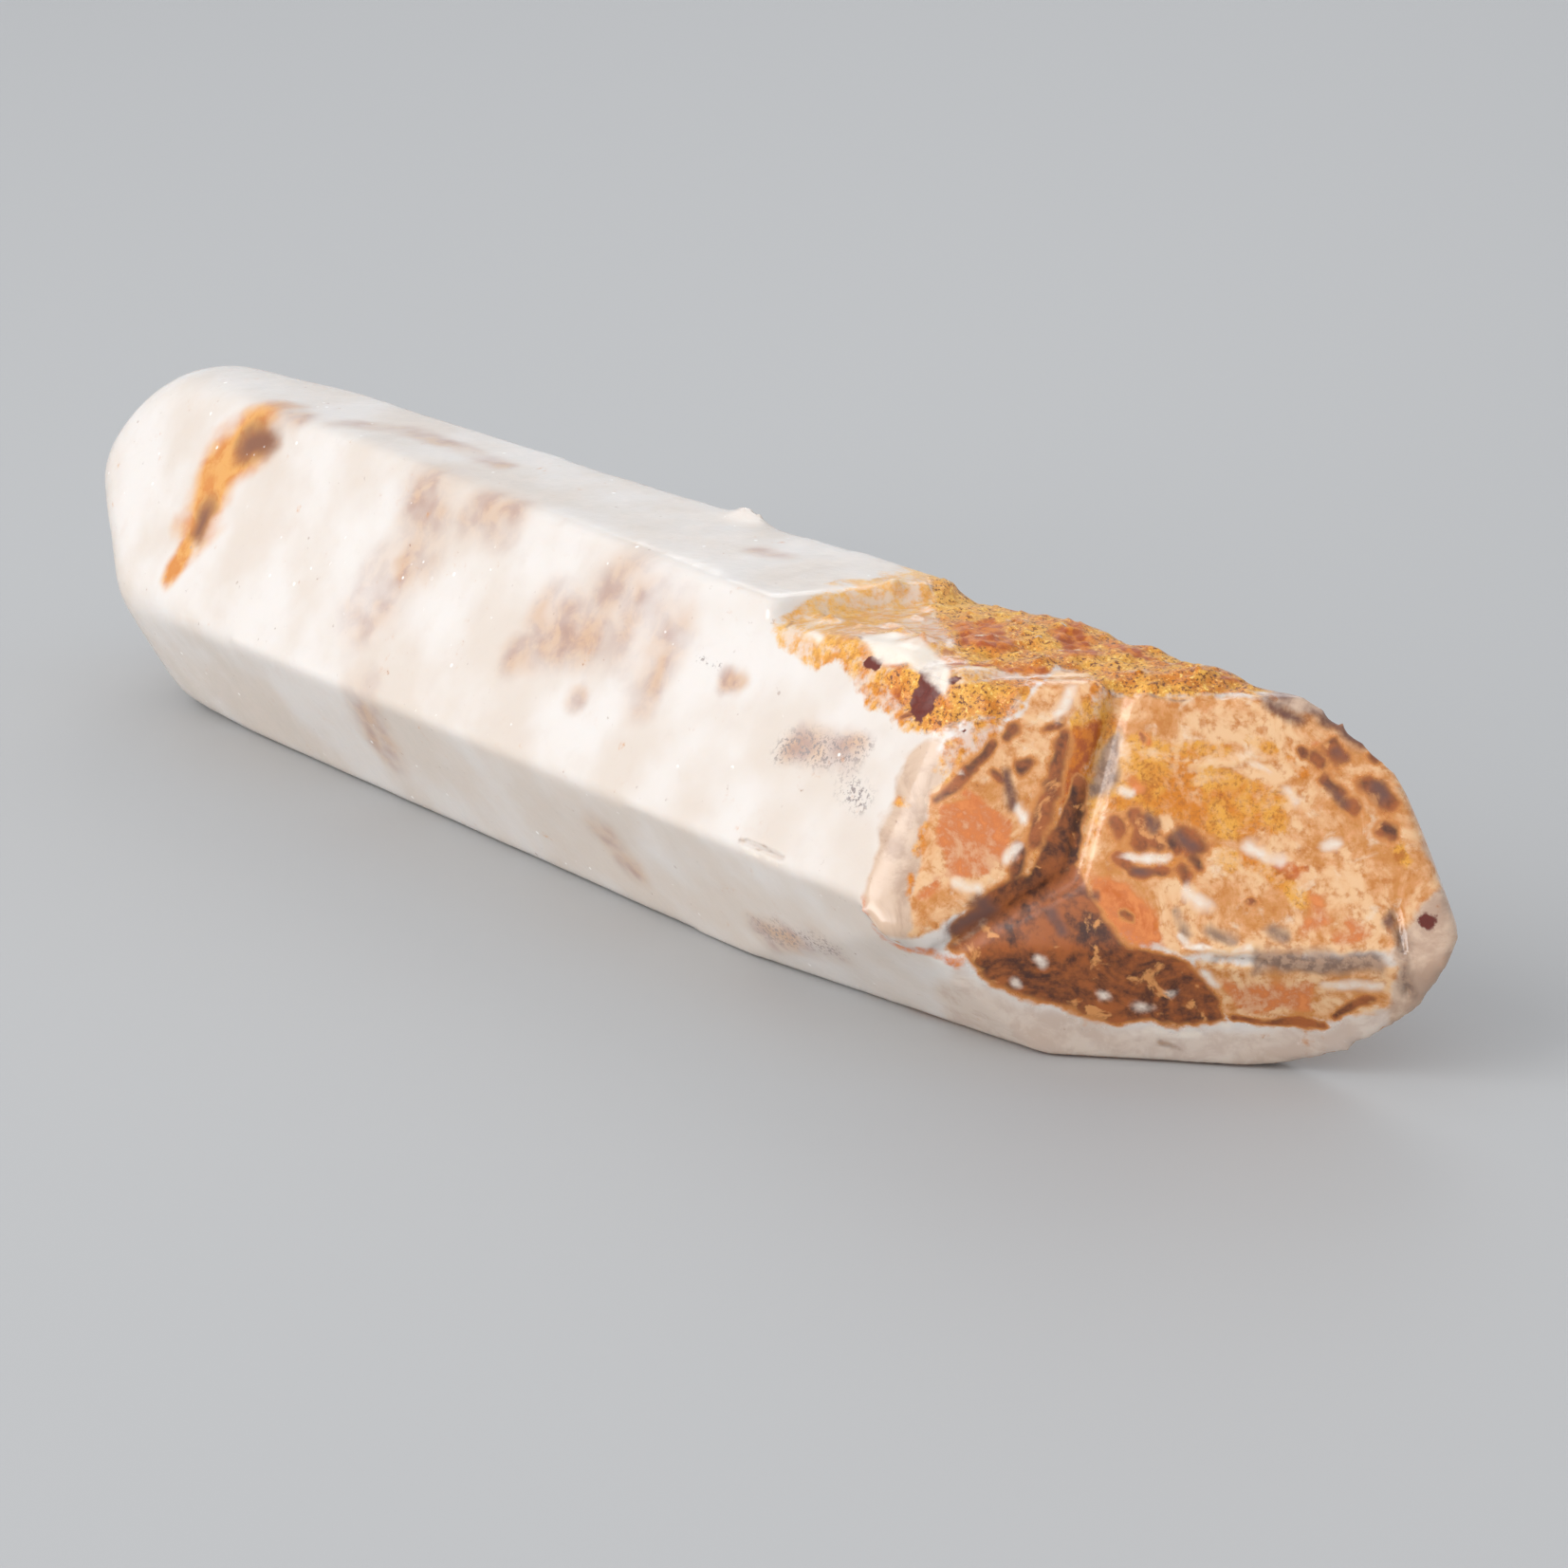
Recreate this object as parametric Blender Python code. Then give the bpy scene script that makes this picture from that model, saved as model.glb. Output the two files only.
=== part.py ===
"""Double terminated quartz crystal, grown as one piece and lying on one of its prism faces.

Units are metres and +Z is up. The crystal's long axis runs along X, with the iron-stained
termination at +X and the worn one at -X. The origin is under the middle of the crystal, on the
surface that it rests on.
"""

import math
import random

import bmesh
import bpy
from mathutils import Matrix, Vector, noise

MM = 0.001

# Height of the crystal's axis over the face it rests on.
AXIS_HEIGHT = 6.4 * MM

# The way that each face looks, as an angle about the axis from the front (-Y) towards the top.
BOTTOM, LOWER_FRONT, FRONT, TOP, UPPER_BACK, LOWER_BACK = (
    math.radians(degrees) for degrees in (-90, -30, 30, 90, 150, 210)
)

# The block that the crystal's faces are cut from: along it, and across it both ways.
BLOCK = (140.0 * MM, 40.0 * MM, 40.0 * MM)

# Each prism face's distance from the axis, and how fast it nears the axis towards +X.
PRISM_FACES = {
    BOTTOM: (6.40 * MM, 0.0),
    LOWER_FRONT: (6.74 * MM, 0.0),
    FRONT: (6.11 * MM, -0.004),
    TOP: (7.11 * MM, 0.026),
    UPPER_BACK: (6.28 * MM, -0.022),
    LOWER_BACK: (6.45 * MM, 0.0),
}

# Angle between the axis and the normal of quartz's rhombohedral faces, which close both ends,
# and the distance from the middle at which the plane of each one crosses the axis.
RHOMB_ANGLE = math.radians(51.79)
STAINED_END = {
    FRONT: 29.87 * MM,
    LOWER_FRONT: 32.07 * MM,
    BOTTOM: 40.22 * MM,
    TOP: 38.87 * MM,
    UPPER_BACK: 42.25 * MM,
    LOWER_BACK: 43.28 * MM,
}
WORN_END = {
    FRONT: 41.08 * MM,
    LOWER_FRONT: 37.00 * MM,
    BOTTOM: 39.58 * MM,
    TOP: 42.38 * MM,
    UPPER_BACK: 38.48 * MM,
    LOWER_BACK: 39.58 * MM,
}

# The worn end is rubbed round, from its tip back over this length.
WORN_TIP = -36.56 * MM
WORN_LENGTH = 7.74 * MM
WORN_RADIUS = 8.30 * MM
WORN_OFFSET = Vector((0.0, 0.50, 0.16)) * MM
WORN_UNEVEN = 0.25 * MM
WORN_LUMP = 1.3
WORN_SHIFT = Vector((0.3, 2.0, 5.0))
WORN_SIDES, WORN_RINGS = 36, 8
WORN_FLAT = math.radians(4)
BULLET_END = 60.0 * MM
BULLET_FLARE = 1.25

# A long sliver is missing from the lower front edge near the stained end: three points of the
# face that it left.
SLIVER_FACE = (
    Vector((11.42, -4.1, 0.0)) * MM,
    Vector((25.62, -2.2, 0.0)) * MM,
    Vector((23.72, -6.25, 4.2)) * MM,
)

# Under the stained tip, the bottom face first lifts gently off the surface.
UNDERCUT_START = 30.72 * MM
UNDERCUT_SLOPE = 0.35

# A growth plate stands on the near part of the stained front face. Its sides slope, and the
# groove that parts it from the rest of that face follows its right side, then its lower one.
PLATE_RISE = 0.40 * MM
PLATE_OVERHANG = 0.40 * MM
PLATE_EDGE = 22.42 * MM
PLATE_STRIP_WIDTH = 2.1 * MM
PLATE_FOOT = 4.35 * MM
PLATE_CORNER = Vector((22.17, -7.0, 5.4)) * MM
PLATE_CORNER_NORMAL = Vector((-0.75, 0.0, -0.66)).normalized()
PLATE_LOWER_RISE = 0.25 * PLATE_RISE
PLATE_FLANK_ANGLE = math.radians(32)
GROOVE_TOP = (26.27 * MM, 13.5 * MM)
GROOVE_BEND = (26.77 * MM, 6.7 * MM)
GROOVE_FOOT = (24.22 * MM, 4.0 * MM)
GROOVE_DEPTH = 0.45 * MM
GROOVE_HALF_WIDTH = 0.40 * MM

# Ledges on the top near the stained end: how far along each one drops, its height before the
# drop and its height after it. They run a little askew across the crystal.
TOP_LEDGES = (
    (12.92 * MM, 13.40 * MM, 12.45 * MM),
    (20.52 * MM, 13.10 * MM, 12.55 * MM),
    (23.02 * MM, 13.00 * MM, 12.50 * MM),
    (26.22 * MM, 12.95 * MM, 12.42 * MM),
    (30.02 * MM, 12.62 * MM, 12.20 * MM),
)
LEDGE_RUN = 0.5 * MM
LEDGE_SKEW = 0.30
LEDGE_LEAD, LEDGE_TAIL, LEDGE_TAIL_DROP = 2.0 * MM, 6.0 * MM, 1.2 * MM
LEDGE_CUT_TOP, LEDGE_CUT_REACH = 20.0 * MM, 12.0 * MM

# Small crystals crusted over that top, each a rhombohedron sunk part way in it. Spacing and
# margin are shares of a crystal's side.
CRUST_TRIES = 420
CRUST_SEED = 23
CRUST_START, CRUST_END = 13.22 * MM, 29.62 * MM
CRUST_FRONT, CRUST_BACK = -2.6 * MM, 4.4 * MM
CRUST_SIDE = (0.45 * MM, 1.0 * MM)
CRUST_SINK = 0.30
CRUST_SPACING = 0.93
CRUST_STRETCH = 1.15
CRUST_TILT = (0.4, 1.2)
CRUST_MARGIN = 0.85

# Two more on the ridge behind the top, further along: (along, side).
RIDGE_LUMPS = ((2.5 * MM, 0.65 * MM), (3.4 * MM, 0.50 * MM))

# How far the edges are worn off, on the crystal and on the thin growth plate.
EDGE_WEAR = 0.16 * MM
PLATE_EDGE_WEAR = 0.6 * EDGE_WEAR

# Points nearer than this are one point.
WELD = 0.001 * MM


def across(angle):
    return Vector((0.0, -math.cos(angle), math.sin(angle)))


def rhomb_normal(angle, end):
    """Outward normal of a rhombohedral face: end is 1 at the stained end and -1 at the worn one."""
    return Vector((end * math.cos(RHOMB_ANGLE), 0, 0)) + across(angle) * math.sin(RHOMB_ANGLE)


def on_axis(along):
    return Vector((along, 0.0, AXIS_HEIGHT))


def on_stained_front(along, height):
    """The point of the stained front face at this place along the crystal and this height."""
    normal = rhomb_normal(FRONT, 1)
    level = normal.dot(on_axis(STAINED_END[FRONT]))
    return Vector((along, (level - normal.x * along - normal.z * height) / normal.y, height))


def upper_back_ridge(along):
    """The point of the ridge between the top face and the upper back face, at this place along it."""
    (top, top_taper), (back, back_taper) = PRISM_FACES[TOP], PRISM_FACES[UPPER_BACK]
    height = top - top_taper * along
    reach = (back - back_taper * along - height * math.sin(UPPER_BACK)) / -math.cos(UPPER_BACK)
    return on_axis(along) + Vector((0.0, reach, height))


def cut(mesh, point, normal):
    """Removes what lies outside a plane, and closes the cut with one face."""
    everything = mesh.verts[:] + mesh.edges[:] + mesh.faces[:]
    made = bmesh.ops.bisect_plane(
        mesh, geom=everything, dist=1e-8, plane_co=point, plane_no=normal, clear_outer=True
    )
    rim = [item for item in made["geom_cut"] if isinstance(item, bmesh.types.BMEdge)]
    if rim:
        bmesh.ops.holes_fill(mesh, edges=rim, sides=0)


def prism(stained_end, overhang=0.0):
    """The six-sided prism, closed at the stained end by faces at these distances.

    Its lower front face stands further out by the overhang.
    """
    mesh = bmesh.new()
    bmesh.ops.create_cube(mesh, size=1.0, matrix=Matrix.Diagonal((*BLOCK, 1.0)))
    for angle, (distance, taper) in PRISM_FACES.items():
        normal = (across(angle) + Vector((taper, 0, 0))).normalized()
        outset = overhang if angle == LOWER_FRONT else 0.0
        cut(mesh, on_axis(0.0) + across(angle) * (distance + outset), normal)
    for angle, along in stained_end.items():
        cut(mesh, on_axis(along), rhomb_normal(angle, 1))
    return mesh


def finished(mesh, name, edge=0.0):
    """Turns the mesh into an object, with its edges worn off a little."""
    bmesh.ops.dissolve_limit(mesh, angle_limit=1e-4, verts=mesh.verts, edges=mesh.edges)
    if edge:
        bmesh.ops.bevel(
            mesh, geom=mesh.edges[:], offset=edge, segments=1, affect="EDGES", clamp_overlap=True
        )
    bmesh.ops.remove_doubles(mesh, verts=mesh.verts, dist=WELD)
    bmesh.ops.recalc_face_normals(mesh, faces=mesh.faces)
    data = bpy.data.meshes.new(name)
    mesh.to_mesh(data)
    mesh.free()
    made = bpy.data.objects.new(name, data)
    bpy.context.scene.collection.objects.link(made)
    return made


def helper(mesh, name, edge=0.0):
    """An object that only shapes the crystal, left out of the build."""
    made = finished(mesh, name, edge)
    made.hide_render = True
    made.display_type = "WIRE"
    return made


def crystal_core():
    mesh = prism(STAINED_END)
    for angle, along in WORN_END.items():
        cut(mesh, on_axis(-along), rhomb_normal(angle, -1))
    undercut = Vector((UNDERCUT_SLOPE, 0.0, -1.0)).normalized()
    cut(mesh, Vector((UNDERCUT_START, 0.0, 0.0)), undercut)
    first, second, third = SLIVER_FACE
    cut(mesh, first, (second - first).cross(third - first).normalized())
    return finished(mesh, "quartz_crystal", EDGE_WEAR)


def join_loops(mesh, loops):
    """Skins a row of loops and closes its ends."""
    for near, far in zip(loops, loops[1:]):
        for corner in range(len(near)):
            after = (corner + 1) % len(near)
            mesh.faces.new((near[corner], near[after], far[after], far[corner]))
    mesh.faces.new(loops[0])
    mesh.faces.new(loops[-1])


def bullet_ring(mesh, step, radius, along, uneven):
    """One ring of the bar that rubs the worn end round, pushed in and out by this much."""
    ring = []
    for side in range(WORN_SIDES):
        way = across(2 * math.pi * side / WORN_SIDES)
        shift = Vector((step * WORN_SHIFT.x, WORN_SHIFT.y, WORN_SHIFT.z))
        grown = radius + noise.noise(way * WORN_LUMP + shift) * uneven
        ring.append(mesh.verts.new(on_axis(along) + WORN_OFFSET + way * grown))
    return ring


def worn_bullet():
    """A round-nosed bar: what is left inside it is the crystal with its worn end rubbed round."""
    mesh = bmesh.new()
    loops = []
    for step in range(WORN_RINGS + 1):
        turn = WORN_FLAT + (math.pi / 2 - WORN_FLAT) * step / WORN_RINGS
        along = WORN_TIP + WORN_LENGTH * (1 - math.cos(turn))
        uneven = WORN_UNEVEN if 0 < step < WORN_RINGS else 0.0
        loops.append(bullet_ring(mesh, step, WORN_RADIUS * math.sin(turn), along, uneven))
    loops.append(bullet_ring(mesh, 0, WORN_RADIUS * BULLET_FLARE, BULLET_END, 0.0))
    join_loops(mesh, loops)
    return helper(mesh, "worn_bullet")


def growth_plate():
    """A thin slab of the same crystal, bounded by a sloping strip, the groove and its own faces."""
    normal = rhomb_normal(FRONT, 1)
    top_corner = on_stained_front(*GROOVE_TOP)
    bend = on_stained_front(*GROOVE_BEND)
    foot = on_stained_front(*GROOVE_FOOT)
    raised = dict(STAINED_END)
    raised[FRONT] += PLATE_RISE / math.cos(RHOMB_ANGLE)
    raised[LOWER_FRONT] += PLATE_LOWER_RISE
    mesh = prism(raised, PLATE_OVERHANG)
    for start, end in ((top_corner, bend), (bend, foot)):
        away = (end - start).cross(normal).normalized()
        if away.x < 0:
            away.negate()
        tilted = away * math.cos(PLATE_FLANK_ANGLE) + normal * math.sin(PLATE_FLANK_ANGLE)
        cut(mesh, start, tilted)
    front = across(FRONT)
    edge_line = normal.cross(front).normalized()
    inward = edge_line.cross(normal).normalized()
    if inward.x < 0:
        inward.negate()
    edge_point = on_stained_front(PLATE_EDGE, AXIS_HEIGHT)
    edge_point -= front * (front.dot(edge_point - on_axis(0.0)) - PRISM_FACES[FRONT][0])
    rise = inward * PLATE_STRIP_WIDTH + normal * PLATE_RISE
    strip = edge_line.cross(rise).normalized()
    if strip.dot(normal) < 0:
        strip.negate()
    cut(mesh, edge_point, strip)
    cut(mesh, Vector((0.0, 0.0, PLATE_FOOT)), Vector((0.0, 0.0, -1.0)))
    cut(mesh, PLATE_CORNER, PLATE_CORNER_NORMAL)
    return helper(mesh, "growth_plate", PLATE_EDGE_WEAR)


def groove():
    """A bar with a three-cornered section, laid along the foot of the plate's sides."""
    normal = rhomb_normal(FRONT, 1)
    line = [on_stained_front(*place) for place in (GROOVE_TOP, GROOVE_BEND, GROOVE_FOOT)]
    mesh = bmesh.new()
    loops = []
    for index, point in enumerate(line):
        ahead = line[min(index + 1, len(line) - 1)] - line[max(index - 1, 0)]
        side = ahead.cross(normal).normalized()
        corners = (
            point + side * GROOVE_HALF_WIDTH * 2 + normal * GROOVE_DEPTH,
            point - side * GROOVE_HALF_WIDTH * 2 + normal * GROOVE_DEPTH,
            point - normal * GROOVE_DEPTH,
        )
        loops.append([mesh.verts.new(corner) for corner in corners])
    join_loops(mesh, loops)
    return helper(mesh, "groove")


def ledge_heights():
    """The outline of the stepped top, as (along, height)."""
    outline = [(TOP_LEDGES[0][0] - LEDGE_LEAD, TOP_LEDGES[0][1])]
    for along, before, after in TOP_LEDGES:
        outline += [(along, before), (along + LEDGE_RUN, after)]
    last_along, _, last_height = TOP_LEDGES[-1]
    return outline + [(last_along + LEDGE_TAIL, last_height - LEDGE_TAIL_DROP)]


def height_at(along):
    """Height of the stepped top over this place along it."""
    outline = ledge_heights()
    for (start, low), (end, high) in zip(outline, outline[1:]):
        if start <= along <= end:
            return low + (high - low) * (along - start) / (end - start)
    return outline[0][1]


def ledge_cutter():
    """Everything above the stepped top: its outline drawn across the crystal."""
    outline = ledge_heights()
    outline += [(outline[-1][0], LEDGE_CUT_TOP), (outline[0][0], LEDGE_CUT_TOP)]
    mesh = bmesh.new()
    ends = []
    for side in (-LEDGE_CUT_REACH, LEDGE_CUT_REACH):
        ends.append([
            mesh.verts.new((along + side * LEDGE_SKEW, side, height))
            for along, height in outline
        ])
    for index in range(len(outline)):
        after = (index + 1) % len(outline)
        mesh.faces.new((ends[0][index], ends[0][after], ends[1][after], ends[1][index]))
    mesh.faces.new(ends[0])
    mesh.faces.new(ends[1])
    return helper(mesh, "ledge_cutter")


def add_rhomb(mesh, place, side, turn):
    """Adds a small rhombohedral crystal, a cube drawn out a little, turned at random."""
    shape = Matrix.Translation(place) @ turn.to_4x4() @ Matrix.Diagonal(
        (side, side, side * CRUST_STRETCH, 1)
    )
    bmesh.ops.create_cube(mesh, size=1.0, matrix=shape)


def random_turn(dice):
    turn = Matrix.Rotation(dice.uniform(0, math.tau), 3, "Z")
    turn = turn @ Matrix.Rotation(dice.uniform(*CRUST_TILT), 3, "X")
    return turn @ Matrix.Rotation(dice.random(), 3, "Y")


def inside_crystal(place, side):
    """Whether a crystal of this side would stay within the faces that bound the crusted top."""
    faces = [(across(a), on_axis(0.0) + across(a) * PRISM_FACES[a][0]) for a in (FRONT, UPPER_BACK)]
    faces += [(rhomb_normal(a, 1), on_axis(STAINED_END[a])) for a in (FRONT, TOP, UPPER_BACK)]
    return all(normal.dot(place - point) < -CRUST_MARGIN * side for normal, point in faces)


def crust():
    """The small crystals, one mesh of cubes that stand clear of each other."""
    dice = random.Random(CRUST_SEED)
    mesh = bmesh.new()
    placed = []
    for _ in range(CRUST_TRIES):
        along = dice.uniform(CRUST_START, CRUST_END)
        sideways = dice.uniform(CRUST_FRONT, CRUST_BACK)
        side = dice.uniform(*CRUST_SIDE)
        height = height_at(along - sideways * LEDGE_SKEW) - side * CRUST_SINK
        turn = random_turn(dice)
        place = Vector((along, sideways, height))
        clear = all((place - other).length > CRUST_SPACING * (side + width) for other, width in placed)
        if clear and inside_crystal(place, side):
            add_rhomb(mesh, place, side, turn)
            placed.append((place, side))
    for along, side in RIDGE_LUMPS:
        add_rhomb(mesh, upper_back_ridge(along), side, random_turn(dice))
    return helper(mesh, "crust")


def boolean(target, other, operation):
    """Joins, cuts or trims the crystal by a helper.

    The exact solver leaves stray edges where a ledge runs almost level with the top face, so this
    is the manifold one.
    """
    modifier = target.modifiers.new(other.name, "BOOLEAN")
    modifier.operation = operation
    modifier.object = other
    modifier.solver = "MANIFOLD"


def quartz_material():
    """Milky quartz: near white, smooth, a little see-through."""
    material = bpy.data.materials.new("milky_quartz")
    material.use_nodes = True
    surface = material.node_tree.nodes["Principled BSDF"]
    surface.inputs["Base Color"].default_value = (0.80, 0.70, 0.60, 1.0)
    surface.inputs["Roughness"].default_value = 0.28
    surface.inputs["Metallic"].default_value = 0.0
    surface.inputs["IOR"].default_value = 1.544
    return material


for leftover in list(bpy.data.objects):
    bpy.data.objects.remove(leftover)

crystal = crystal_core()
boolean(crystal, worn_bullet(), "INTERSECT")
boolean(crystal, growth_plate(), "UNION")
boolean(crystal, ledge_cutter(), "DIFFERENCE")
boolean(crystal, groove(), "DIFFERENCE")
boolean(crystal, crust(), "UNION")
crystal.data.materials.append(quartz_material())
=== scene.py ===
"""A milky quartz crystal with a termination at each end, its sharper end stained by iron."""

import math

import bmesh
import bpy
import numpy as np
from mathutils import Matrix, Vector, noise
from mathutils.bvhtree import BVHTree


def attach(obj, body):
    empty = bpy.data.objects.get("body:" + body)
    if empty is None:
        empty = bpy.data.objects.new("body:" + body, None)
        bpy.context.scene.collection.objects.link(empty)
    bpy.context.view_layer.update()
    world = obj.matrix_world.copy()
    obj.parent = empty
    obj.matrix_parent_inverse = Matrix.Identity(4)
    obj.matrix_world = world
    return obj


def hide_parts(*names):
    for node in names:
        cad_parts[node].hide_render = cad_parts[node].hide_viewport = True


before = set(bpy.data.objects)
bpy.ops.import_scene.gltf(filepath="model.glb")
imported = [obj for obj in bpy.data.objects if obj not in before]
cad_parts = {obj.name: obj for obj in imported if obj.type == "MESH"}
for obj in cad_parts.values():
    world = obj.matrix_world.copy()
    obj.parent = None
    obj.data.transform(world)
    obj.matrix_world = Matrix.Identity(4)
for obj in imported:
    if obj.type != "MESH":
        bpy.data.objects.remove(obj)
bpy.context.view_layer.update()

MM = 0.001

# The camera stands where the photo was taken: in front of the crystal, to the right of it and a
# little above, with a longish lens. Marks further down are placed by where they show in its frame.
FRAME_PIXELS = 1653
CAMERA_PLACE = Vector((109.32, -81.36, 47.41)) * MM
CAMERA_AZIMUTH = math.radians(51.01)
CAMERA_ELEVATION = math.radians(18.20)
FOCAL_PIXELS = 3889.0
SENSOR_WIDTH = 36.0
NEAREST_SEEN = 5.0 * MM

camera_data = bpy.data.cameras.new("camera")
camera_data.sensor_width = SENSOR_WIDTH
camera_data.lens = SENSOR_WIDTH * FOCAL_PIXELS / FRAME_PIXELS
camera_data.clip_start = NEAREST_SEEN
camera = bpy.data.objects.new("camera", camera_data)
bpy.context.scene.collection.objects.link(camera)
camera.location = CAMERA_PLACE
camera.rotation_euler = (math.pi / 2 - CAMERA_ELEVATION, 0.0, CAMERA_AZIMUTH)
bpy.context.scene.camera = camera
bpy.context.scene.view_settings.view_transform = "Standard"


# The crystal: one piece of milky quartz, grown with flat faces and rubbed round at its far end.
# Its solid is copied and given an even skin of small faces, finer over the stained end.
WELD = 0.001 * MM
SKIN_CELL = 0.305 * MM
FINE_FROM = 9.0 * MM


def only(obj):
    """Selects this object alone and makes it the active one."""
    bpy.ops.object.select_all(action="DESELECT")
    obj.select_set(True)
    bpy.context.view_layer.objects.active = obj


solid = bpy.data.objects["quartz_crystal"]
crystal = bpy.data.objects.new("crystal_body", solid.data.copy())
bpy.context.scene.collection.objects.link(crystal)
only(crystal)
bpy.ops.object.mode_set(mode="EDIT")
bpy.ops.mesh.select_all(action="SELECT")
bpy.ops.mesh.remove_doubles(threshold=WELD)
bpy.ops.object.mode_set(mode="OBJECT")

skin = crystal.modifiers.new("skin", "REMESH")
skin.mode = "VOXEL"
skin.voxel_size = SKIN_CELL
bpy.ops.object.modifier_apply(modifier="skin")

bpy.ops.object.mode_set(mode="EDIT")
grid = bmesh.from_edit_mesh(crystal.data)
for face in grid.faces:
    face.select_set(face.calc_center_median().x > FINE_FROM)
bmesh.update_edit_mesh(crystal.data)
bpy.ops.mesh.subdivide(number_cuts=1)
bpy.ops.object.mode_set(mode="OBJECT")

wrap = crystal.modifiers.new("wrap", "SHRINKWRAP")
wrap.target = solid
wrap.wrap_method = "NEAREST_SURFACEPOINT"
bpy.ops.object.modifier_apply(modifier="wrap")
ease = crystal.modifiers.new("ease", "SMOOTH")
ease.factor = 0.5
ease.iterations = 1
bpy.ops.object.modifier_apply(modifier="ease")


# The wear and the growth on its surface: the far end is rubbed smooth, the edges are softened, the
# top of the near end is crusted with fine grains, and strokes press in slots or raise ridges.
# A stroke is its radius, then the pixels of the photo's frame that it runs through. A patch is the
# width of its soft edge, then the corners of its outline there.
def coordinates(obj):
    places = np.empty(len(obj.data.vertices) * 3, np.float32)
    obj.data.vertices.foreach_get("co", places)
    return places.reshape(-1, 3).astype(np.float64)


def normals(obj):
    ways = np.empty(len(obj.data.vertices) * 3, np.float32)
    obj.data.vertex_normals.foreach_get("vector", ways)
    return ways.reshape(-1, 3).astype(np.float64)


def move_to(obj, places):
    obj.data.vertices.foreach_set("co", places.astype(np.float32).ravel())
    obj.data.update()


def smoothstep(low, high, values):
    steps = np.clip((values - low) / (high - low), 0.0, 1.0)
    return steps * steps * (3.0 - 2.0 * steps)


edge_ends = np.empty(len(crystal.data.edges) * 2, np.int32)
crystal.data.edges.foreach_get("vertices", edge_ends)
FIRST, SECOND = edge_ends.reshape(-1, 2).T


def neighbours_mean(places):
    """The mean place of each vertex's neighbours."""
    size = len(places)
    ends, others = np.concatenate([FIRST, SECOND]), np.concatenate([SECOND, FIRST])
    count = np.bincount(ends, minlength=size)
    total = [np.bincount(ends, weights=places[others, axis], minlength=size) for axis in range(3)]
    return np.stack(total, axis=1) / count[:, None]


def soften(places, share, passes):
    """Moves each vertex halfway to its neighbours' mean in each pass, or by its share of that."""
    for _ in range(passes):
        places = places + (neighbours_mean(places) - places) * (0.5 * share)[:, None]
    return places


view_turn = np.array(camera.rotation_euler.to_matrix())
HALF_FRAME = FRAME_PIXELS / 2

# About how far the stained end is from the camera, and how wide one pixel is there.
STAINED_DISTANCE = 130.0 * MM
PIXEL = STAINED_DISTANCE / FOCAL_PIXELS


def in_frame(places):
    """The photo's columns and rows of these places."""
    local = (places - np.array(CAMERA_PLACE)) @ view_turn
    return (
        HALF_FRAME + FOCAL_PIXELS * local[:, 0] / -local[:, 2],
        HALF_FRAME - FOCAL_PIXELS * local[:, 1] / -local[:, 2],
    )


def under_pixel(column, row):
    """Where the sight line through this pixel meets the crystal, or passes nearest to it."""
    across, up = (column - HALF_FRAME) / FOCAL_PIXELS, (HALF_FRAME - row) / FOCAL_PIXELS
    way = Vector(view_turn @ (across, up, -1.0)).normalized()
    place = seen_surface.ray_cast(CAMERA_PLACE, way)[0]
    if place is None:
        place = seen_surface.find_nearest(CAMERA_PLACE + way * STAINED_DISTANCE)[0]
    return place


# Stands for a length of nothing where one is divided by.
TINY = 1e-12


def stroke_field(strokes, places):
    """How deep in a stroke each vertex lies: 1 on its line, 0.5 at its radius, 0 at twice that."""
    field = np.zeros(len(places))
    for radius, *pixels in strokes:
        line = np.array([tuple(under_pixel(*pixel)) for pixel in pixels])
        reach = 2.0 * radius * PIXEL
        near = np.all((places > line.min(0) - reach) & (places < line.max(0) + reach), axis=1)
        here = places[near]
        gap = np.linalg.norm(here - line[0], axis=1)
        for start, end in zip(line, line[1:]):
            along = end - start
            share = np.clip((here - start) @ along / max(along @ along, TINY), 0.0, 1.0)
            gap = np.minimum(gap, np.linalg.norm(here - start - share[:, None] * along, axis=1))
        field[near] = np.maximum(field[near], np.clip(1.0 - gap / reach, 0.0, 1.0))
    return field


def patch_field(patches, places):
    """How deep in a patch each vertex lies: 0.5 on its outline, 1 a feather's width inside."""
    columns, rows = in_frame(places)
    field = np.zeros(len(places))
    for feather, *corners in patches:
        inside = np.zeros(len(places), bool)
        gap = np.full(len(places), np.inf)
        for (x0, y0), (x1, y1) in zip(corners, corners[1:] + corners[:1]):
            crossing = (y0 > rows) != (y1 > rows)
            inside ^= crossing & (columns < x0 + (rows - y0) * (x1 - x0) / ((y1 - y0) or TINY))
            side = np.array((x1 - x0, y1 - y0), float)
            share = np.clip(((columns - x0) * side[0] + (rows - y0) * side[1]) / (side @ side), 0, 1)
            gap = np.minimum(gap, np.hypot(columns - x0 - share * side[0], rows - y0 - share * side[1]))
        depth = 0.5 + np.where(inside, gap, -gap) / (2.0 * feather)
        field = np.maximum(field, np.clip(depth, 0.0, 1.0))
    return field * facing


# How far one seed's noise lies from the next one's.
SEED_SHIFT = (7.3, 3.1, 5.7)


def grain(places, size, seed):
    """Smooth noise from -1 to 1 with lumps of this size."""
    shift = Vector([seed * way for way in SEED_SHIFT])
    return np.array([noise.noise(Vector(place) / size + shift) for place in places])


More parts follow.
